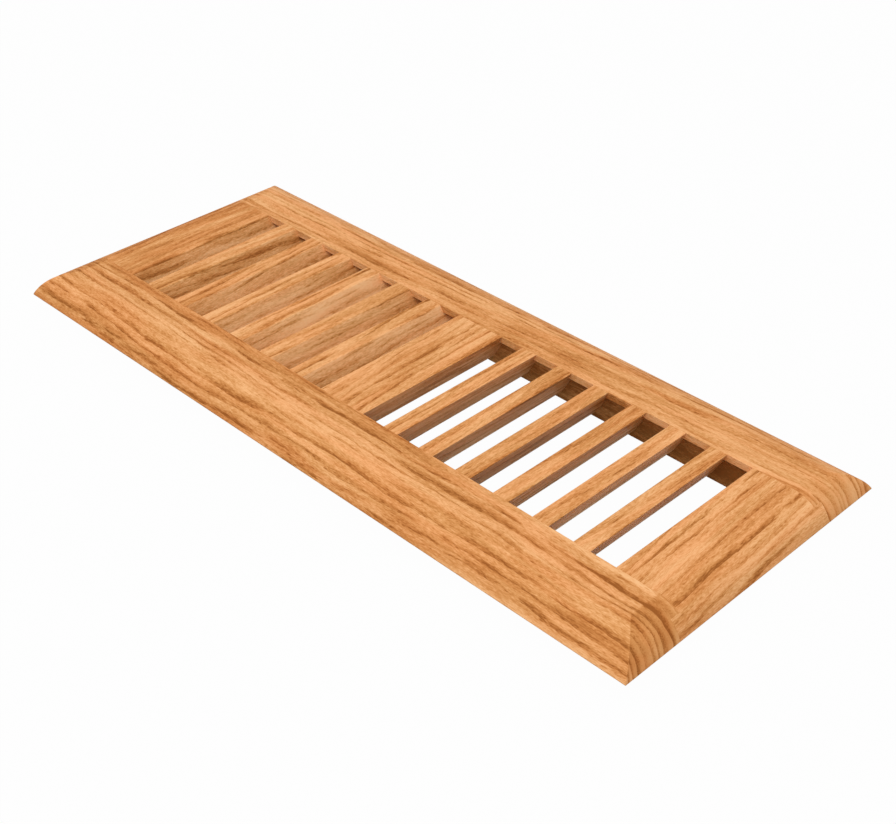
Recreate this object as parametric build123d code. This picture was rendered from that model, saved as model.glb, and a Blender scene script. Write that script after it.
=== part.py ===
from build123d import *
import os
from math import radians, tan

# A louvred floor register in solid oak that drops into a rectangular duct opening.
# X runs along its length, Y across it and Z up. The origin is the plan centre on the underside.

# The duct opening and how the register sits in it.
DUCT_LENGTH = 304.8  # opening in the floor, along X
DUCT_WIDTH = 101.6  # opening in the floor, along Y
DUCT_CLEARANCE = 1.6  # play on each side between the opening and the drop-in body
RIM_OVERLAP = 22.225  # how far the rim covers the floor around the opening

# Depths.
STOCK_THICKNESS = 19.05  # rails, from the flush top to the underside of the drop-in body
RIM_THICKNESS = 10.5  # rim, from the flush top to its seat on the floor
LOUVRE_RECESS = 3.55  # how far the louvres stop short of the underside

# Rounded edges of the rim: each is an arc that leaves the flat top smoothly.
SIDE_ROUND_WIDTH = 18.5  # broad round along the two sides
END_ROUND_WIDTH = 14.0  # tighter round across the two ends
EDGE_FLAT = 0.5  # narrow upright at the foot of both rounds

# Half-lap: every crosswise piece has a tongue at each end that is glued under the side rails' lips.
LIP_THICKNESS = 3.2  # lip left above the tongues
LAP_WIDTH = 4.5  # reach of a tongue under the lip
SIDE_WALL = 4.8  # side rail's drop-in wall, outside the tongues

# Louvres: they lean towards the centre on their way down, and the centre block is undercut to match.
SLATS_PER_HALF = 6
SLAT_WIDTH = 7.87  # slat's flush top
SLAT_LEAN = 30.0  # degrees from upright
CENTRE_WIDTH = 26.15  # centre block's flush top
END_WALL = 8.25  # end rail's flush top, inside the end of the drop-in body
EASED_EDGE = 0.4  # radius on the top edges that border a slot

# Places that follow from the sizes above.
RIM_LENGTH = DUCT_LENGTH + 2 * RIM_OVERLAP
RIM_WIDTH = DUCT_WIDTH + 2 * RIM_OVERLAP
BODY_LENGTH = DUCT_LENGTH - 2 * DUCT_CLEARANCE
BODY_WIDTH = DUCT_WIDTH - 2 * DUCT_CLEARANCE
TOP = STOCK_THICKNESS
SEAT = TOP - RIM_THICKNESS
LIP_UNDERSIDE = TOP - LIP_THICKNESS
TONGUE_END = BODY_WIDTH / 2 - SIDE_WALL
LIP_EDGE = TONGUE_END - LAP_WIDTH
LOUVRES_END = BODY_LENGTH / 2 - END_WALL
SLOT_SPACE = LOUVRES_END - CENTRE_WIDTH / 2 - SLATS_PER_HALF * SLAT_WIDTH
SLOT_WIDTH = SLOT_SPACE / (SLATS_PER_HALF + 1)
LEAN_SLOPE = tan(radians(SLAT_LEAN))


def rail_section(inner_outline, rim_half, body_half, round_width):
    """Cut through a rail: inner outline from top to underside, drop-in body, rim seat, rounded edge."""
    round_start = (rim_half - round_width, TOP)
    foot = (rim_half, SEAT + EDGE_FLAT)
    below_rim = [(body_half, 0), (body_half, SEAT), (rim_half, SEAT)]
    with BuildSketch() as section:
        with BuildLine():
            Polyline(round_start, *inner_outline, *below_rim, foot)
            TangentArc(round_start, foot, tangent=(1, 0))
        make_face()
    return section.sketch


def end_envelope():
    """The register's outside as seen along Y: both rounded ends over the shorter drop-in body."""
    middle = [(0, TOP), (0, 0)]
    half = rail_section(middle, RIM_LENGTH / 2, BODY_LENGTH / 2, END_ROUND_WIDTH)
    whole = half + mirror(half, about=Plane.YZ)
    return extrude(Plane.XZ * whole, RIM_WIDTH / 2, both=True)


def side_rail():
    """Back rail: lip over the half-lap, drop-in wall below it, rounded rim that is shaped at both ends."""
    lip = [(LIP_EDGE, TOP), (LIP_EDGE, LIP_UNDERSIDE)]
    wall = [(TONGUE_END, LIP_UNDERSIDE), (TONGUE_END, 0)]
    section = rail_section(lip + wall, RIM_WIDTH / 2, BODY_WIDTH / 2, SIDE_ROUND_WIDTH)
    return extrude(Plane.YZ * section, RIM_LENGTH / 2, both=True) & end_envelope()


def crosspiece(section):
    """A piece that runs across the register, with its top cut back at both ends to leave a tongue."""
    blank = extrude(Plane.XZ * section, TONGUE_END, both=True)
    notch = Box(RIM_LENGTH, LAP_WIDTH, LIP_THICKNESS, align=(Align.CENTER, Align.MIN, Align.MIN))
    notch = Pos(0, LIP_EDGE, LIP_UNDERSIDE) * notch
    return blank - notch - mirror(notch, about=Plane.XZ)


def top_edges(piece):
    """The edges of a crosspiece's flush top that run across the register, from left to right."""
    return piece.edges().filter_by(Axis.Y).group_by(Axis.Z)[-1].sort_by(Axis.X)


def end_rail():
    """Right end rail: its inner face leans with the slats, its outer edge carries the tighter round."""
    inner_face = [(LOUVRES_END, TOP), (LOUVRES_END - TOP * LEAN_SLOPE, 0)]
    section = rail_section(inner_face, RIM_LENGTH / 2, BODY_LENGTH / 2, END_ROUND_WIDTH)
    rail = crosspiece(section)
    return fillet(top_edges(rail)[0], EASED_EDGE)


def louvre(left_top, right_top, left_lean, right_lean):
    """A crosswise bar between two slots; each face moves sideways by its lean on the way down."""
    corners = [
        (left_top, TOP),
        (right_top, TOP),
        (right_top + right_lean, LOUVRE_RECESS),
        (left_top + left_lean, LOUVRE_RECESS),
    ]
    bar = crosspiece(make_face(Polyline(*corners, close=True)))
    return fillet(top_edges(bar), EASED_EDGE)


def build_pieces():
    """Every piece of the register by name; slats are counted from the centre block outwards."""
    lean = (TOP - LOUVRE_RECESS) * LEAN_SLOPE
    back_rail = side_rail()
    right_rail = end_rail()
    pieces = {
        "side_rail_back": back_rail,
        "side_rail_front": mirror(back_rail, about=Plane.XZ),
        "end_rail_right": right_rail,
        "end_rail_left": mirror(right_rail, about=Plane.YZ),
        "centre_block": louvre(-CENTRE_WIDTH / 2, CENTRE_WIDTH / 2, lean, -lean),
    }
    for number in range(1, SLATS_PER_HALF + 1):
        left_top = CENTRE_WIDTH / 2 + number * SLOT_WIDTH + (number - 1) * SLAT_WIDTH
        slat = louvre(left_top, left_top + SLAT_WIDTH, -lean, -lean)
        pieces[f"slat_right_{number}"] = slat
        pieces[f"slat_left_{number}"] = mirror(slat, about=Plane.YZ)
    return pieces


os.makedirs("parts", exist_ok=True)
for name, piece in build_pieces().items():
    export_step(piece, f"parts/{name}.step")
    print(name, "volume", round(piece.volume / 1000, 2), "cubic cm")
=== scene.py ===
# %% [markdown]
# # A louvred floor register in oak
# This object drops into a duct opening in a wooden floor and lets warm air through. It is glued up from
# seventeen oak boards: two long side rails, two end rails, a broad centre block and twelve leaning slats.
# Every board was already drawn at its real size, so the lesson starts by loading those boards as a frame.

# %% Load the frame
from math import asin, radians
from random import Random

import bmesh
import bpy
from mathutils import Matrix, Vector


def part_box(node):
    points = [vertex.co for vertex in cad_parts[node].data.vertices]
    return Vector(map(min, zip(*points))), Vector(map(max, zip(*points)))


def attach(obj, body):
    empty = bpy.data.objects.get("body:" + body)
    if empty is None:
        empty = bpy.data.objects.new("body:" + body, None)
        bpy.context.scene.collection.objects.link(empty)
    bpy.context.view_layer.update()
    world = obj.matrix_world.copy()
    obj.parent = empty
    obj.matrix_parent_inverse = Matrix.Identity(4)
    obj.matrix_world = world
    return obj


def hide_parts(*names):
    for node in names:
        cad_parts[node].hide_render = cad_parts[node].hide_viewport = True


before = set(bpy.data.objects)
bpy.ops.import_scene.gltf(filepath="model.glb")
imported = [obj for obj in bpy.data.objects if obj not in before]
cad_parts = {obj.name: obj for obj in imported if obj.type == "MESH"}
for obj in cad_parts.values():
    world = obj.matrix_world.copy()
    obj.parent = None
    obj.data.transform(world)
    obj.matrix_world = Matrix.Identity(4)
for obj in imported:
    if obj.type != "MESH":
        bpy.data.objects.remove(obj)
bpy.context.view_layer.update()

bpy.ops.object.select_all(action="DESELECT")
print("boards in the frame:", len(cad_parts))

# %% [markdown]
# Blender counts in metres, while a joiner counts in millimetres, so we write sizes as millimetres times MM.
# Most places are read from the boxes of the frame's own boards, so that our boards can't drift away from
# them. The few sizes that a box can't show, such as the width of a rounded edge, are given as numbers.

# %% Sizes of the register
MM = 0.001
RIM_THICKNESS = 10.5 * MM
SIDE_ROUND_WIDTH = 18.5 * MM
END_ROUND_WIDTH = 14.0 * MM
EDGE_FLAT = 0.5 * MM
LIP_THICKNESS = 3.2 * MM
SIDE_WALL = 4.8 * MM
BODY_HALF_LENGTH = 150.8 * MM
SLAT_WIDTH = 7.87 * MM

rail_low, rail_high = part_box("side_rail_back")
block_low, block_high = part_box("centre_block")
RIM_HALF_LENGTH = rail_high.x
RIM_HALF_WIDTH = rail_high.y
TOP = rail_high.z
SEAT = TOP - RIM_THICKNESS
LIP_EDGE = rail_low.y
LIP_UNDERSIDE = TOP - LIP_THICKNESS
TONGUE_END = block_high.y
BODY_HALF_WIDTH = TONGUE_END + SIDE_WALL
LOUVRE_UNDERSIDE = block_low.z
print("rim, mm:", round(2 * RIM_HALF_LENGTH / MM, 2), "by", round(2 * RIM_HALF_WIDTH / MM, 2))

# %% [markdown]
# The camera looks down at one corner of the register along the diagonal of a cube, so that length, width
# and height are all foreshortened alike. A fairly long lens keeps the far rail nearly parallel to the near
# one. The camera's place is given from the middle of the flush top, which is easy to measure from.

# %% Camera
VIEW_TURN = radians(45.0)
VIEW_TILT = radians(54.7356)  # from straight down, the diagonal of a cube
CAMERA_FROM_TOP = Vector((381.54, -361.33, 346.04)) * MM
LENS = 60.944  # mm
SENSOR_WIDTH = 36.0  # mm
NEAREST = 0.01  # m from the lens at which things begin to show

place = CAMERA_FROM_TOP + Vector((0, 0, TOP))
bpy.ops.object.camera_add(location=place, rotation=(VIEW_TILT, 0, VIEW_TURN))
camera = bpy.context.object
camera.name = "camera"
camera.data.lens = LENS
camera.data.sensor_width = SENSOR_WIDTH
camera.data.clip_start = NEAREST
bpy.context.scene.camera = camera
bpy.context.scene.view_settings.view_transform = "Standard"
print("camera is", round(camera.location.length, 3), "m from the register's middle")

# %% [markdown]
# Colours are picked by eye as sRGB hex values, as on a paint card, but light is added up in linear values.
# One function does that change. Another adds a node to a material: it sets the node's options, then links
# each input that is given a socket and types in each input that is given a plain value.

# %% Colour and node helpers
def linear(hex_colour):
    """Turn an sRGB colour such as C8854D into linear red, green and blue, with alpha 1."""
    parts = [int(hex_colour[i:i + 2], 16) / 255 for i in (0, 2, 4)]
    return [p / 12.92 if p <= 0.04045 else ((p + 0.055) / 1.055) ** 2.4 for p in parts] + [1.0]


def add_node(tree, kind, inputs, **options):
    """Add a node with its options, link inputs that are given a node or socket, and type in the others."""
    node = tree.nodes.new(kind)
    for option, value in options.items():
        setattr(node, option, value)
    for socket, value in inputs.items():
        if isinstance(value, bpy.types.Node):
            value = value.outputs[0]
        if isinstance(value, bpy.types.NodeSocket):
            tree.links.new(value, node.inputs[socket])
        else:
            node.inputs[socket].default_value = value
    return node


def empty_tree(owner):
    """Switch a material or a world to nodes, with an empty tree."""
    owner.use_nodes = True
    owner.node_tree.nodes.clear()
    return owner.node_tree


print("honey in linear light:", [round(value, 3) for value in linear("E3A066")])

# %% [markdown]
# A product picture is lit so that nothing distracts: a white room gives light from everywhere, and one big
# soft lamp, high in front, brings out the rounded edges and the slopes. The room's light is an even world
# colour. The camera sees the room as pure white, but the wood gets only the plain, lower level.

# %% Studio light
WHITE = "FFFFFF"
ROOM_LIGHT = 0.56  # where white seen directly is 1
LAMP_FROM = Vector((0.2, -0.42, 0.88)).normalized()
LAMP_DISTANCE = 1.7  # m
LAMP_POWER = 16.5  # W
LAMP_SIZE = 1.6  # m


def seen_directly(tree):
    """1 for light paths that show the background itself: straight, mirrored or through glass."""
    path = add_node(tree, "ShaderNodeLightPath", {})
    seen = path.outputs["Is Camera Ray"]
    for other in ("Is Glossy Ray", "Is Transmission Ray"):
        seen = add_node(tree, "ShaderNodeMath", {0: seen, 1: path.outputs[other]}, operation="MAXIMUM")
    return seen


world = bpy.data.worlds.new("white_room")
bpy.context.scene.world = world
room = empty_tree(world)
span = {"Value": seen_directly(room), "To Min": ROOM_LIGHT, "To Max": 1.0}
level = add_node(room, "ShaderNodeMapRange", span)
air = add_node(room, "ShaderNodeBackground", {"Color": linear(WHITE), "Strength": level})
add_node(room, "ShaderNodeOutputWorld", {"Surface": air})

bpy.ops.object.light_add(type="AREA", location=LAMP_FROM * LAMP_DISTANCE)
lamp = bpy.context.object
lamp.name = "soft_lamp"
lamp.rotation_euler = (-LAMP_FROM).to_track_quat("-Z", "Y").to_euler()
lamp.data.size = LAMP_SIZE
lamp.data.energy = LAMP_POWER
print("lamp height, m:", round(lamp.location.z, 2))

# %% [markdown]
# The register lies on a light table: white paper that is lit a little from below as well, so that no shadow
# is deep. Lit paper is never quite white in a picture, so most of what the camera sees of it is a plain
# white glow, and the rest is the lit paper, which keeps the register's soft shadow. Seen from below, the
# paper is left clear, so that the underside can be looked at too.

# %% White floor
FLOOR_SIZE = 8.0  # m
TABLE_LIGHT = 0.1  # share of glow in the light that the paper gives to the wood
PAPER_GLOW = 0.98  # share of glow in what the camera sees
PAPER_GREY = "B4B4B4"
PAPER_FIBRE = 1.5 * MM  # between fibre clumps
PAPER_RELIEF = 0.1 * MM
RELIEF_SHARE = 0.1  # of that relief that shows

bpy.ops.mesh.primitive_plane_add(size=FLOOR_SIZE)
floor = bpy.context.object
floor.name = "paper_floor"
paper = bpy.data.materials.new("white_paper")
tree = empty_tree(paper)
place = add_node(tree, "ShaderNodeTexCoord", {}).outputs["Object"]
fibre = add_node(tree, "ShaderNodeTexNoise", {"Vector": place, "Scale": 1 / PAPER_FIBRE})
uneven = {"Height": fibre, "Strength": RELIEF_SHARE, "Distance": PAPER_RELIEF}
bump = add_node(tree, "ShaderNodeBump", uneven)
lit = add_node(tree, "ShaderNodeBsdfDiffuse", {"Color": linear(PAPER_GREY), "Normal": bump})
glow = add_node(tree, "ShaderNodeEmission", {"Color": linear(WHITE), "Strength": 1.0})
span = {"Value": seen_directly(tree), "To Min": TABLE_LIGHT, "To Max": PAPER_GLOW}
share = add_node(tree, "ShaderNodeMapRange", span)
front = add_node(tree, "ShaderNodeMixShader", {0: share, 1: lit, 2: glow})
side = add_node(tree, "ShaderNodeNewGeometry", {}).outputs["Backfacing"]
clear = add_node(tree, "ShaderNodeBsdfTransparent", {})
sheet = add_node(tree, "ShaderNodeMixShader", {0: side, 1: front, 2: clear})
add_node(tree, "ShaderNodeOutputMaterial", {"Surface": sheet})
floor.data.materials.append(paper)
print("floor, m:", FLOOR_SIZE)

# %% [markdown]
# Now the boards. Each one starts as a plain block or a drawn section and is then shaped in edit mode, as it
# would be by hand. By hand you would click on an edge to select it. A script has to say where the edge is
# instead, so this helper selects whatever passes a test on its middle and on its direction: a face's
# direction is its normal, and an edge's direction is the way that it runs.

# %% Select by place
NEAR = 0.01 * MM


def near(value, wanted):
    """True where two places agree to a hundredth of a millimetre."""
    return abs(value - wanted) < NEAR


def pick(kind, test):
    """Select the vertices, edges or faces of the open mesh that pass a test, and nothing else."""
    bpy.ops.mesh.select_mode(type=kind)
    bpy.ops.mesh.select_all(action="DESELECT")
    mesh = bmesh.from_edit_mesh(bpy.context.object.data)
    items = {"VERT": mesh.verts, "EDGE": mesh.edges, "FACE": mesh.faces}[kind]
    for item in items:
        corners = [item.co] if kind == "VERT" else [corner.co for corner in item.verts]
        middle = sum(corners, Vector()) / len(corners)
        way = item.normal if kind == "FACE" else (corners[-1] - corners[0]).normalized()
        item.select_set(bool(test(middle, way)))
    mesh.select_flush_mode()
    bmesh.update_edit_mesh(bpy.context.object.data)
    return sum(item.select for item in items)


def move(x=0.0, y=0.0, z=0.0):
    """Move what is selected."""
    bpy.ops.transform.translate(value=(x, y, z))


def pull(x=0.0, y=0.0, z=0.0):
    """Extrude what is selected."""
    bpy.ops.mesh.extrude_region_move(TRANSFORM_OT_translate={"value": (x, y, z)})


print("places agree to", NEAR / MM, "mm")

# %% [markdown]
# A louvre is a bar between two slots. It could be drawn as a section and pulled out, but a bar is quickly
# made from a block: the two lower edges are moved sideways, so that the faces lean, and the block is
# sliced level with the underside of the rails' lips. Below that slice the ends are pulled out as tongues,
# which are glued under the lips. Last, the long edges are eased, as a pass of sandpaper would do.

# %% Louvre bars
EASED_EDGE = 0.4 * MM
EASED_STEPS = 4
SANDED_EDGE = 0.25 * MM
SANDED_STEPS = 2
ALONG = 0.99  # an edge runs along an axis when this much of its direction does
SMOOTH_ANGLE = radians(35.0)  # a sharper edge between two faces stays sharp


def add_block(name, low, high):
    """Add a block that fills the space between two corners, and open it for editing."""
    bpy.ops.object.select_all(action="DESELECT")
    bpy.ops.mesh.primitive_cube_add(size=1.0, location=(low + high) / 2, scale=high - low)
    bpy.ops.object.transform_apply(location=True, rotation=False, scale=True)
    block = bpy.context.object
    block.name = block.data.name = name
    bpy.ops.object.mode_set(mode="EDIT")
    return block


def pull_tongues():
    """Slice the open board under the lips and pull its lower ends out as tongues."""
    bpy.ops.mesh.select_all(action="SELECT")
    bpy.ops.mesh.bisect(plane_co=(0, 0, LIP_UNDERSIDE), plane_no=(0, 0, 1))
    for end in (-1, 1):
        pick("FACE", lambda middle, way: near(middle.y, end * LIP_EDGE) and middle.z < LIP_UNDERSIDE)
        pull(y=end * (TONGUE_END - LIP_EDGE))


def finish_board(board):
    """Close edit mode, shade round faces smoothly and keep flat faces flat."""
    bpy.ops.mesh.select_all(action="SELECT")
    bpy.ops.mesh.remove_doubles(threshold=NEAR)
    bpy.ops.mesh.normals_make_consistent(inside=False)
    bpy.ops.object.mode_set(mode="OBJECT")
    bpy.ops.object.shade_smooth_by_angle(angle=SMOOTH_ANGLE)
    flat = board.modifiers.new("flat_faces", "WEIGHTED_NORMAL")
    flat.keep_sharp = True
    bpy.ops.object.modifier_apply(modifier=flat.name)
    return board


def louvre(name, left, right, left_lean, right_lean):
    """Model a bar whose flush top runs from left to right, and whose faces lean on their way down."""
    bar = add_block(name, Vector((left, -LIP_EDGE, LOUVRE_UNDERSIDE)), Vector((right, LIP_EDGE, TOP)))
    for side, lean in ((left, left_lean), (right, right_lean)):
        pick("VERT", lambda middle, way: near(middle.z, LOUVRE_UNDERSIDE) and near(middle.x, side))
        move(x=lean)
    pull_tongues()
    pick("EDGE", lambda middle, way: near(middle.z, TOP) and abs(way.y) > ALONG)
    bpy.ops.mesh.bevel(offset=EASED_EDGE, segments=EASED_STEPS, affect="EDGES")
    pick("EDGE", lambda middle, way: near(middle.z, LOUVRE_UNDERSIDE) and abs(way.y) > ALONG)
    bpy.ops.mesh.bevel(offset=SANDED_EDGE, segments=SANDED_STEPS, affect="EDGES")
    return finish_board(bar)


first_low, first_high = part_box("slat_right_1")
LEAN = (first_high.x - first_low.x) - SLAT_WIDTH
boards = {}
boards["centre_block"] = louvre("oak_centre_block", block_low.x, block_high.x, LEAN, -LEAN)
print("centre block faces:", len(boards["centre_block"].data.polygons))

# %% [markdown]
# The twelve slats are all one shape, so one is modelled and the rest are copies, as they would all be cut
# from one moulding. The slats of the right half are shifted copies. The left half leans the other way, so
# it is a mirror image, and a mirrored mesh is inside out until its normals are recalculated.

# %% Slats
def copy_board(board, name):
    """Copy a board with its mesh, and leave the copy selected and active."""
    bpy.ops.object.select_all(action="DESELECT")
    bpy.context.view_layer.objects.active = board
    board.select_set(True)
    bpy.ops.object.duplicate(linked=False)
    copy = bpy.context.object
    copy.name = copy.data.name = name
    return copy


def mirror_board(board, name, flip):
    """Copy a board as a mirror image through the register's middle, with its normals put right."""
    copy = copy_board(board, name)
    copy.scale = flip
    bpy.ops.object.transform_apply(location=False, rotation=False, scale=True)
    bpy.ops.object.mode_set(mode="EDIT")
    return finish_board(copy)


model_slat = louvre("oak_slat_right_1", first_high.x - SLAT_WIDTH, first_high.x, -LEAN, -LEAN)
boards["slat_right_1"] = model_slat
slats_per_half = sum(name.startswith("slat_right_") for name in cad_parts)
for number in range(2, slats_per_half + 1):
    slat = copy_board(model_slat, f"oak_slat_right_{number}")
    move(x=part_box(f"slat_right_{number}")[1].x - first_high.x)
    bpy.ops.object.transform_apply(location=True, rotation=False, scale=False)
    boards[f"slat_right_{number}"] = slat
for number in range(1, slats_per_half + 1):
    slat = boards[f"slat_right_{number}"]
    boards[f"slat_left_{number}"] = mirror_board(slat, f"oak_slat_left_{number}", (-1, 1, 1))
print("slats:", 2 * slats_per_half)

# %% [markdown]
# The rails are mouldings: one section along their whole length. On a spindle moulder a shaped cutter makes
# it. Here the section is drawn instead, vertex by vertex, with extrude for the straight runs and spin for
# the round edge, then filled and pulled out to length. The round leaves the flat top smoothly and ends
# above a narrow upright, so its radius follows from its width and its drop.

# %% Draw a section
ROUND_STEPS = 20
FULL_DROP = RIM_THICKNESS - EDGE_FLAT


def round_radius(width):
    """Radius of an arc that leaves the flat top smoothly and drops to the upright within a width."""
    return (width ** 2 + FULL_DROP ** 2) / (2 * FULL_DROP)


def start_outline(name, place):
    """Start an outline as one vertex at a place, in edit mode."""
    bpy.ops.object.select_all(action="DESELECT")
    bpy.ops.mesh.primitive_plane_add(size=MM)
    outline = bpy.context.object
    outline.name = outline.data.name = name
    bpy.ops.object.mode_set(mode="EDIT")
    bpy.ops.mesh.select_all(action="SELECT")
    bpy.ops.mesh.merge(type="CENTER")
    bpy.ops.mesh.select_mode(type="VERT")
    bpy.ops.mesh.select_all(action="SELECT")
    move(*place)
    return outline


def draw_to(places):
    """Draw on from the selected vertex through a list of places."""
    for before, after in zip(places, places[1:]):
        pull(*(after - before))


def draw_round(middle, axis, width):
    """Spin the selected vertex along the round edge about the round's middle."""
    turn = asin(width / round_radius(width))
    bpy.ops.mesh.spin(steps=ROUND_STEPS, angle=turn, center=middle, axis=axis)


def fill_outline(corners):
    """Close and fill the drawn outline, and sand the corners that are listed."""
    bpy.ops.mesh.select_all(action="SELECT")
    bpy.ops.mesh.remove_doubles(threshold=NEAR)
    bpy.ops.mesh.select_all(action="SELECT")
    bpy.ops.mesh.edge_face_add()
    pick("VERT", lambda middle, way: any((middle - corner).length < NEAR for corner in corners))
    bpy.ops.mesh.bevel(offset=SANDED_EDGE, segments=SANDED_STEPS, affect="VERTICES")
    bpy.ops.mesh.select_mode(type="FACE")
    bpy.ops.mesh.select_all(action="SELECT")


for edge, width in (("side", SIDE_ROUND_WIDTH), ("end", END_ROUND_WIDTH)):
    print(edge, "round: radius, mm", round(round_radius(width) / MM, 2))

# %% [markdown]
# An end rail runs across the register between the side rails. Its inner face leans like the slats, its
# outer edge is the tighter round, and like the slats it has tongues under the lips. The right one is
# modelled and the left one is its mirror image.

# %% End rails
def end_rail(name):
    """Model the right end rail from its section, pulled out across the register."""
    def at(x, z):
        return Vector((x, -LIP_EDGE, z))

    inner_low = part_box("end_rail_right")[0]
    inner_top = inner_low.x + TOP / (TOP - LOUVRE_UNDERSIDE) * LEAN
    round_start = RIM_HALF_LENGTH - END_ROUND_WIDTH
    below = [at(BODY_HALF_LENGTH, 0), at(BODY_HALF_LENGTH, SEAT), at(RIM_HALF_LENGTH, SEAT)]
    inner_foot = at(inner_low.x, 0)
    round_foot = at(RIM_HALF_LENGTH, SEAT + EDGE_FLAT)
    path = [at(round_start, TOP), at(inner_top, TOP), inner_foot, *below, round_foot]
    rail = start_outline(name, path[0])
    draw_to(path)
    draw_round(at(round_start, TOP - round_radius(END_ROUND_WIDTH)), (0, 1, 0), END_ROUND_WIDTH)
    body_foot, _, rim_foot = below
    fill_outline([inner_foot, body_foot, rim_foot, round_foot])
    pull(y=2 * LIP_EDGE)
    pull_tongues()
    pick("EDGE", lambda middle, way: near(middle.z, TOP) and near(middle.x, inner_top))
    bpy.ops.mesh.bevel(offset=EASED_EDGE, segments=EASED_STEPS, affect="EDGES")
    return finish_board(rail)


boards["end_rail_right"] = end_rail("oak_end_rail_right")
boards["end_rail_left"] = mirror_board(boards["end_rail_right"], "oak_end_rail_left", (-1, 1, 1))
print("end rail faces:", len(boards["end_rail_right"].data.polygons))

# %% [markdown]
# A side rail runs the whole length. Its section has the broad round outside and the thin lip inside, over
# the place for the tongues. After gluing up, the ends of the whole frame are rounded over together, so the
# two rounds meet in a crease at each corner. We do the same: a Boolean modifier keeps only what lies
# inside the outline of both rounded ends. Only the edges of a crease run askew, so they are easy to pick
# and to mark as sharp.

# %% Side rails
OVERHANG = 1.0 * MM  # how far the outline of the ends stands past a rail
ASKEW = 0.1  # an edge runs askew when this much of its direction is lengthwise, and as much crosswise


def ends_outline():
    """Model a block whose outline is the register's outside as seen along its width."""
    def at(x, z):
        return Vector((x, -RIM_HALF_WIDTH - OVERHANG, z))

    round_start = RIM_HALF_LENGTH - END_ROUND_WIDTH
    foot = SEAT + EDGE_FLAT
    middle_height = TOP - round_radius(END_ROUND_WIDTH)
    right = [at(BODY_HALF_LENGTH, 0), at(BODY_HALF_LENGTH, SEAT), at(RIM_HALF_LENGTH, SEAT),
             at(RIM_HALF_LENGTH, foot)]
    left = [at(-point.x, point.z) for point in reversed(right)]
    block = start_outline("ends_outline", at(round_start, TOP))
    draw_to([at(round_start, TOP), at(-round_start, TOP)])
    draw_round(at(-round_start, middle_height), (0, 1, 0), END_ROUND_WIDTH)
    draw_to(left + right)
    draw_round(at(round_start, middle_height), (0, 1, 0), END_ROUND_WIDTH)
    fill_outline([*left, *right])
    pull(y=2 * (RIM_HALF_WIDTH + OVERHANG))
    bpy.ops.mesh.select_all(action="SELECT")
    bpy.ops.mesh.normals_make_consistent(inside=False)
    bpy.ops.object.mode_set(mode="OBJECT")
    return block


def side_rail(name):
    """Model the back side rail: its section, pulled out lengthwise and rounded over at both ends."""
    def at(y, z):
        return Vector((-RIM_HALF_LENGTH, y, z))

    ends = ends_outline()
    round_start = RIM_HALF_WIDTH - SIDE_ROUND_WIDTH
    lip = [at(LIP_EDGE, TOP), at(LIP_EDGE, LIP_UNDERSIDE), at(TONGUE_END, LIP_UNDERSIDE), at(TONGUE_END, 0)]
    below = [at(BODY_HALF_WIDTH, 0), at(BODY_HALF_WIDTH, SEAT), at(RIM_HALF_WIDTH, SEAT)]
    round_foot = at(RIM_HALF_WIDTH, SEAT + EDGE_FLAT)
    path = [at(round_start, TOP), *lip, *below, round_foot]
    rail = start_outline(name, path[0])
    draw_to(path)
    draw_round(at(round_start, TOP - round_radius(SIDE_ROUND_WIDTH)), (-1, 0, 0), SIDE_ROUND_WIDTH)
    _, lip_foot, _, wall_foot = lip
    body_foot, _, rim_foot = below
    fill_outline([lip_foot, wall_foot, body_foot, rim_foot, round_foot])
    pull(x=2 * RIM_HALF_LENGTH)
    bpy.ops.mesh.select_all(action="SELECT")
    bpy.ops.mesh.normals_make_consistent(inside=False)
    bpy.ops.object.mode_set(mode="OBJECT")
    keep = rail.modifiers.new("rounded_ends", "BOOLEAN")
    keep.operation = "INTERSECT"
    keep.solver = "EXACT"
    keep.object = ends
    bpy.ops.object.modifier_apply(modifier=keep.name)
    bpy.data.objects.remove(ends)
    bpy.ops.object.mode_set(mode="EDIT")
    pick("EDGE", lambda middle, way: abs(way.x) > ASKEW and abs(way.y) > ASKEW)
    bpy.ops.mesh.mark_sharp()
    return finish_board(rail)


boards["side_rail_back"] = side_rail("oak_side_rail_back")
boards["side_rail_front"] = mirror_board(boards["side_rail_back"], "oak_side_rail_front", (1, -1, 1))
print("side rail faces:", len(boards["side_rail_back"].data.polygons))

# %% [markdown]
# Red oak is a ring-porous wood: each year's growth starts with a dense row of open pores and ends in
# smooth, paler wood. A picture of a board could be wrapped round each piece, but its lines would break off
# at every edge. We describe the log instead: a ring is a distance from the heart of the log, bent by noise
# that is stretched along the grain, and a board shows whatever rings it cuts through. So lines run on from
# the top over a rounded edge, as they do on solid wood. The mesh notes how far fibres are cut across,
# because there a ring shows as a calm, clear line.

# %% Growth rings of red oak
RING_WIDTH = 3.4  # mm of growth in a year, on average
RING_SPREAD = 2.6  # years by which broad and narrow years push a ring along
ERA = 12.0  # mm over which broad years give way to narrow ones
BENDS = {  # name: (length along the grain, width across it, how far it bends a ring), all in mm
    "wander": (220.0, 80.0, 9.0),
    "ripple": (40.0, 9.0, 3.5),
    "feather": (8.0, 1.0, 1.3),
}

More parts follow.
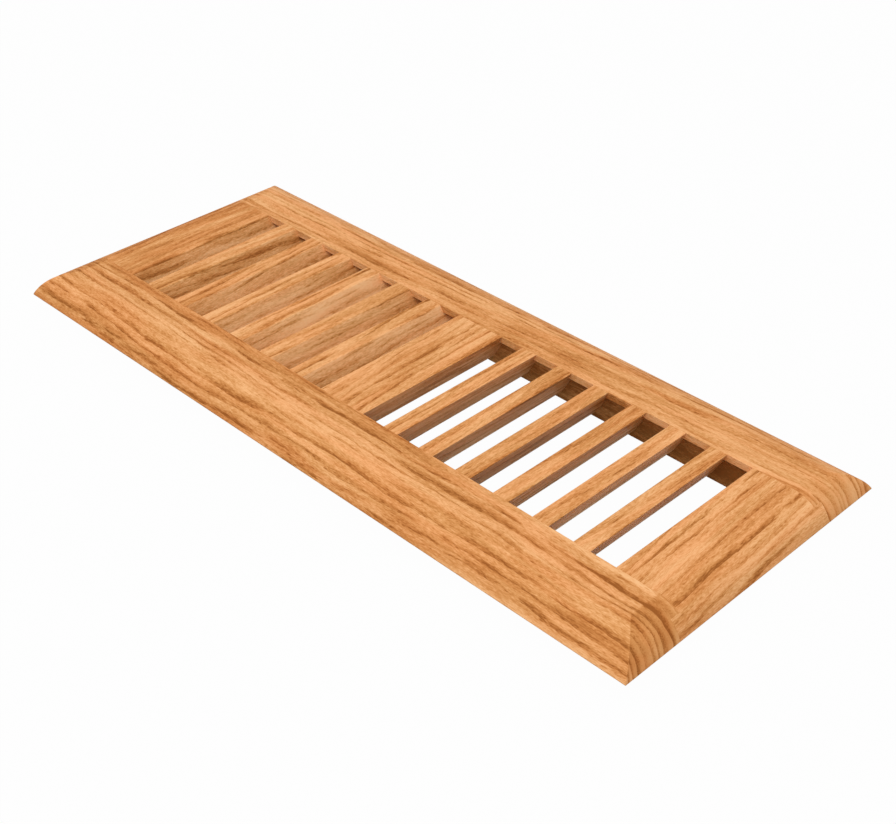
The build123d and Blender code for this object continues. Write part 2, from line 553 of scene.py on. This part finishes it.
oak = bpy.data.materials.new("red_oak_clear_satin")
tree = empty_tree(oak)
log = add_node(tree, "ShaderNodeAttribute", {}, attribute_name="log").outputs["Vector"]
across_log = add_node(tree, "ShaderNodeVectorMath", {0: log, 1: (0, 1, 1)}, operation="MULTIPLY")
bent = add_node(tree, "ShaderNodeVectorMath", {0: across_log}, operation="LENGTH").outputs["Value"]
cut = add_node(tree, "ShaderNodeAttribute", {}, attribute_name="cut").outputs["Fac"]
calm = add_node(tree, "ShaderNodeMath", {0: 1.0, 1: cut}, operation="SUBTRACT")
for name, (along, across, reach) in BENDS.items():
    sizes = (along, across, across)
    stretched = add_node(tree, "ShaderNodeVectorMath", {0: log, 1: sizes}, operation="DIVIDE")
    noise = add_node(tree, "ShaderNodeTexNoise", {"Vector": stretched, "Scale": 1.0, "Detail": 1.0})
    if name == "feather":
        noise = add_node(tree, "ShaderNodeMath", {0: noise, 1: calm}, operation="MULTIPLY")
    bent = add_node(tree, "ShaderNodeMath", {0: noise, 1: reach, 2: bent}, operation="MULTIPLY_ADD")

era = add_node(tree, "ShaderNodeMath", {0: bent, 1: ERA}, operation="DIVIDE")
inputs = {"W": era, "Scale": 1.0, "Detail": 1.0}
growth = add_node(tree, "ShaderNodeTexNoise", inputs, noise_dimensions="1D")
even_years = add_node(tree, "ShaderNodeMath", {0: bent, 1: RING_WIDTH}, operation="DIVIDE")
pushed = {0: growth, 1: RING_SPREAD, 2: even_years}
years = add_node(tree, "ShaderNodeMath", pushed, operation="MULTIPLY_ADD")
season = add_node(tree, "ShaderNodeMath", {0: years}, operation="FRACT")
year = add_node(tree, "ShaderNodeMath", {0: years}, operation="FLOOR")
vigour = add_node(tree, "ShaderNodeTexWhiteNoise", {"W": year}, noise_dimensions="1D")
parts = add_node(tree, "ShaderNodeSeparateXYZ", {0: log})
flow = add_node(tree, "ShaderNodeCombineXYZ", {0: parts.outputs["X"], 1: bent, 2: parts.outputs["Z"]})
print("rings in a side rail:", round((RIM_HALF_WIDTH - LIP_EDGE) / MM / RING_WIDTH))

# %% [markdown]
# Pores are cut lengthwise on most faces, so they show as short dark dashes. They crowd into the start of
# each ring and join up to a ragged line there, and a few stray ones lie between. We add how early in the
# year a place is to noise in the shape of dashes, and keep only the high values. More stretched noise gives
# the broad bands of tone that run along a board, the strands within them and the fine fibres.

# %% Pores and fibres
PORE_ROW = (0.15, 0.6)  # shares of a year at which the row of pores thins out, and at which it has ended
DARK_BAND = (0.1, 0.7)  # shares of a year at which the wood begins to turn paler, and at which it is pale
WEAKEST_YEAR = 0.2  # how strong a row is in the leanest year
CROWDING = 0.3  # how much likelier a pore is in a row
GAPS = (0.26, 0.6)  # where noise leaves a gap in a row, and where the row is whole again
PORES = (0.52, 0.9)  # where a dash begins to show, and where it is a full pore
GRAIN_ROUGHNESS = 0.75
NOISE_MIDDLE = 0.5  # what noise fades to where fibres are cut across
END_LINES = 0.2  # how much stronger a band is where fibres are cut across
END_WHOLE = 0.4  # how much of a gap is closed there
GRAIN = {  # name: (length along the grain in mm, width across it in mm, detail)
    "dash": (4.0, 0.45, 1.0),  # pores are half as wide on real oak, and would not show at this size
    "gaps": (30.0, 3.0, 1.0),
    "broad": (160.0, 12.0, 1.0),
    "strand": (30.0, 3.0, 2.0),
    "fibre": (2.0, 0.38, 1.0),
    "blush": (60.0, 5.0, 1.0),
}

fields = {}
for name, (along, across, detail) in GRAIN.items():
    sizes = (along, across, across)
    stretched = add_node(tree, "ShaderNodeVectorMath", {0: flow, 1: sizes}, operation="DIVIDE")
    inputs = {"Vector": stretched, "Scale": 1.0, "Detail": detail, "Roughness": GRAIN_ROUGHNESS}
    fields[name] = add_node(tree, "ShaderNodeTexNoise", inputs)
half_cut = add_node(tree, "ShaderNodeMath", {0: cut, 1: NOISE_MIDDLE}, operation="MULTIPLY")
for name in ("strand", "fibre"):
    faded = {0: fields[name], 1: calm, 2: half_cut}
    fields[name] = add_node(tree, "ShaderNodeMath", faded, operation="MULTIPLY_ADD")
whole = {0: cut, 1: END_WHOLE, 2: fields["gaps"]}
fields["gaps"] = add_node(tree, "ShaderNodeMath", whole, operation="MULTIPLY_ADD")
strength = add_node(tree, "ShaderNodeMapRange", {"Value": vigour, "To Min": WEAKEST_YEAR})
span = {"Value": fields["gaps"], "From Min": GAPS[0], "From Max": GAPS[1], "To Max": strength}
strength = add_node(tree, "ShaderNodeMapRange", span, interpolation_type="SMOOTHSTEP")
for name, (begin, end) in {"row": PORE_ROW, "band": DARK_BAND}.items():
    span = {"Value": season, "From Min": begin, "From Max": end, "To Min": 1.0, "To Max": 0.0}
    early = add_node(tree, "ShaderNodeMapRange", span, interpolation_type="SMOOTHSTEP")
    fields[name] = add_node(tree, "ShaderNodeMath", {0: early, 1: strength}, operation="MULTIPLY")
clearer = add_node(tree, "ShaderNodeMath", {0: cut, 1: END_LINES, 2: 1.0}, operation="MULTIPLY_ADD")
fields["band"] = add_node(tree, "ShaderNodeMath", {0: fields["band"], 1: clearer}, operation="MULTIPLY")
crowded = {0: fields["row"], 1: CROWDING, 2: fields["dash"]}
crowd = add_node(tree, "ShaderNodeMath", crowded, operation="MULTIPLY_ADD")
span = {"Value": crowd, "From Min": PORES[0], "From Max": PORES[1]}
fields["pore"] = add_node(tree, "ShaderNodeMapRange", span, interpolation_type="SMOOTHSTEP")
print("kinds of grain:", ", ".join(fields))

# %% [markdown]
# A clear finish wets the wood, so whatever is darker is also more saturated. One ramp from pale honey to
# brown holds the colours, and the grain above decides how far along the ramp a place lies. Each board has
# a shade of its own, which is stored on its mesh later on, with painted shade added on the walls inside
# the duct. Steep faces in the slots and faces that point down get a painted, less orange tint, which
# stands in for the neutral light in their shade.

# %% Colour of the boards
WOOD_COLOURS = {0.0: "FCC48C", 0.2: "F8BA80", 0.52: "DC995B", 0.76: "C27D42", 1.0: "A0602C"}
PALEST = -0.83  # where the ramp would start if nothing darkened the wood
DARKENING = {
    "broad": 0.8,
    "strand": 0.8,
    "fibre": 0.84,
    "band": 0.32,
    "pore": 0.26,
    # the board's own shade, and painted shade on the walls inside the duct
    "shade": 0.8,
}
BLUSH = "FFF5F0"  # multiplies the wood's colour where it is redder
BLUSHES = (0.4, 0.65)  # where noise begins to redden the wood, and where it does so in full
PAINTED_SHADE_TINT = (0.96, 1.25, 1.5)  # painted shade tint: red, green and blue of the less orange colour painted on shaded faces, against lit oak

for name in ("shade", "painted_tint_amount"):
    fields[name] = add_node(tree, "ShaderNodeAttribute", {}, attribute_name=name).outputs["Fac"]
depth = PALEST
for name, weight in DARKENING.items():
    darker = {0: fields[name], 1: weight, 2: depth}
    depth = add_node(tree, "ShaderNodeMath", darker, operation="MULTIPLY_ADD")
colours = add_node(tree, "ShaderNodeValToRGB", {"Fac": depth})
stops = colours.color_ramp.elements
while len(stops) < len(WOOD_COLOURS):
    stops.new(0.5)  # its own place follows below
for stop, (position, colour) in zip(stops, WOOD_COLOURS.items()):
    stop.position = position
    stop.color = linear(colour)
span = {"Value": fields["blush"], "From Min": BLUSHES[0], "From Max": BLUSHES[1]}
flush = add_node(tree, "ShaderNodeMapRange", span)
# A Mix node has its two colours on inputs 6 and 7, and its two vectors on inputs 4 and 5.
warmth = {0: flush, 6: colours, 7: linear(BLUSH)}
warmed = add_node(tree, "ShaderNodeMix", warmth, data_type="RGBA", blend_type="MULTIPLY").outputs[2]
# Painted shade tint: shaded faces are made less orange, in place of the neutral light that reaches them.
change = {0: fields["painted_tint_amount"], 4: (1, 1, 1), 5: PAINTED_SHADE_TINT}
tint = add_node(tree, "ShaderNodeMix", change, data_type="VECTOR").outputs[1]
colour = add_node(tree, "ShaderNodeVectorMath", {0: warmed, 1: tint}, operation="MULTIPLY")
print("colours in the oak:", ", ".join(WOOD_COLOURS.values()))

# %% [markdown]
# A satin coat is thin: it reflects little and softly, it is rougher over open pores and it dips into them.
# The pores could be modelled, but at less than a tenth of a millimetre a bump map is enough.

# %% Satin finish
SHEEN = 0.02  # specular level of a thin, rubbed coat: a gloss coat has 0.5
ROUGHNESS = (0.5, 0.7)  # of smooth wood, and of open pores
FIBRE_HEIGHT = 0.4  # against the depth of a pore
PORE_DEPTH = 0.08 * MM
RELIEF = 0.25  # share of that depth that the coat leaves

span = {"Value": fields["pore"], "To Min": ROUGHNESS[0], "To Max": ROUGHNESS[1]}
rough = add_node(tree, "ShaderNodeMapRange", span)
height = add_node(tree, "ShaderNodeMath", {0: fields["fibre"], 1: FIBRE_HEIGHT}, operation="MULTIPLY")
height = add_node(tree, "ShaderNodeMath", {0: height, 1: fields["pore"]}, operation="SUBTRACT")
bump = add_node(tree, "ShaderNodeBump", {"Height": height, "Strength": RELIEF, "Distance": PORE_DEPTH})
finish = {"Base Color": colour, "Roughness": rough, "Specular IOR Level": SHEEN, "Normal": bump}
surface = add_node(tree, "ShaderNodeBsdfPrincipled", finish)
add_node(tree, "ShaderNodeOutputMaterial", {"Surface": surface})
print("nodes in the oak:", len(tree.nodes))

# %% [markdown]
# Each board was sawn from its own place in the log. Its grain runs lengthwise: along the register on the
# side rails and across it on all the others. The place in the log is stored on the mesh as an attribute,
# so one material serves all the boards, and no two of them look alike. Where a rounded end cuts across the
# fibres, they drink the finish and turn darker at once. Where they are cut square, they show less of it.
# Five boards get places that are listed. The slats get random ones, always the same because the
# draw starts from a fixed number, and a few of them are then made darker or paler.

# %% Saw the boards from the log
PAINTED_WALL_SHADE = 0.6  # painted shade: how much darker the walls inside the duct are painted, for the shade in the slots
SLANT_CUT = 0.05  # a fibre counts as cut when it leaves the face more steeply than this
SQUARE_CUT = 0.9  # how much of the darkening is lost where fibres are cut square
UPRIGHT = 0.1  # a face counts as a wall when its normal rises or falls less than this
SLOPE_PAINTED_TINT = 0.28  # painted shade tint: how much of it a steep face in a slot gets at most
UNDERSIDE_PAINTED_TINT = 1.3  # painted shade tint: how much of it a face gets for each unit that its normal points down


def saw(board, lengthwise, start, heart, turn, lean, shade, thirst=0.0):
    """Give a board its place in the log and its shade, note where fibres are cut, and paint shade and a
    shade tint.
    """
    low, high = (Vector(board.bound_box[corner]) for corner in (0, 6))  # lowest and highest corners
    to_grain = Matrix.Identity(4) if lengthwise else Matrix.Rotation(radians(-90), 4, "Z")
    into_log = Matrix.Translation((start, heart, 0)) @ Matrix.Rotation(radians(lean), 4, "Z")
    into_log = into_log @ Matrix.Rotation(radians(turn), 4, "X") @ to_grain @ Matrix.Scale(1 / MM, 4)
    into_log = into_log @ Matrix.Translation(-(low + high) / 2)
    mesh = board.data
    places = [value for vertex in mesh.vertices for value in into_log @ vertex.co]
    mesh.attributes.new("log", "FLOAT_VECTOR", "POINT").data.foreach_set("vector", places)
    notes = {"shade": [], "painted_tint_amount": [], "cut": []}
    for face in mesh.polygons:
        place = face.center
        within = abs(place.x) < BODY_HALF_LENGTH + NEAR and abs(place.y) < BODY_HALF_WIDTH + NEAR
        in_duct = within and place.z < LIP_UNDERSIDE and abs(face.normal.z) < UPRIGHT
        for corner in face.loop_indices:
            normal = mesh.corner_normals[corner].vector
            sliced = abs(normal.x if lengthwise else normal.y)
            drink = thirst * min(sliced / SLANT_CUT, 1.0) * (1.0 - SQUARE_CUT * sliced)
            # The walls inside the duct get painted shade on top of the board's own shade.
            notes["shade"].append(shade + drink + PAINTED_WALL_SHADE * in_duct)
            # Painted shade tint: steep faces in a slot, faces that point down and the walls in the duct get
            # it.
            steep = min(1.0 - normal.z, SLOPE_PAINTED_TINT) if within else 0.0
            below = max(-UNDERSIDE_PAINTED_TINT * normal.z, 0.0)
            notes["painted_tint_amount"].append(1.0 if in_duct else min(steep + below, 1.0))
            notes["cut"].append(sliced)
    for name, numbers in notes.items():
        mesh.attributes.new(name, "FLOAT", "CORNER").data.foreach_set("value", numbers)
    mesh.materials.clear()
    mesh.materials.append(oak)


# Each place says whether the grain runs lengthwise, then start and distance from the heart in mm, turn and
# lean in degrees, shade, and thirst.
CHOSEN_PLACES = {
    "side_rail_front": (True, 3683, 107, 13, 0.0, 0.03, 0.3),
    "side_rail_back": (True, 2782, 92, 0, -2.2, -0.04, 0.1),
    "centre_block": (False, 7570, 95, -34, -2.1, -0.12, 0.0),
    "end_rail_right": (False, 7673, 126, -12, -3.5, -0.08, 0.0),
    "end_rail_left": (False, 7648, 117, -43, -0.6, 0.02, 0.0),
}
SLAT_STARTS = (3000, 9000)  # mm along the log
SLAT_HEARTS = (60, 130)  # mm from the heart
SLAT_TURNS = (10, 50)  # degrees
SLAT_LEANS = (-3, 3)  # degrees
SLAT_SHADES = (-0.08, 0.04)
SLAT_TONES = {  # slats that are darker (above 0) or paler than the draw makes them
    "slat_left_2": -0.08,
    "slat_left_3": -0.13,
    "slat_right_1": -0.07,
    "slat_right_3": 0.2,
    "slat_right_4": 0.05,
    "slat_right_6": 0.05,
}
SLAT_SEED = 12

for name, place_in_log in CHOSEN_PLACES.items():
    saw(boards[name], *place_in_log)
pick_stock = Random(SLAT_SEED)
for name, board in sorted(boards.items()):
    if name.startswith("slat_"):
        start = pick_stock.uniform(*SLAT_STARTS)
        heart = pick_stock.uniform(*SLAT_HEARTS)
        turn = pick_stock.uniform(*SLAT_TURNS) * (1 if "right" in name else -1)
        lean = pick_stock.uniform(*SLAT_LEANS)
        shade = pick_stock.uniform(*SLAT_SHADES) + SLAT_TONES.get(name, 0.0)
        saw(board, False, start, heart, turn, lean, shade)
print("boards sawn:", len(boards))

# %% [markdown]
# Every board now takes the place of its plain twin in the frame and rides with the register's one body.

# %% Take the frame's places
for name, board in boards.items():
    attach(board, "root")
    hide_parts(name)

print("boards in place:", len(boards))
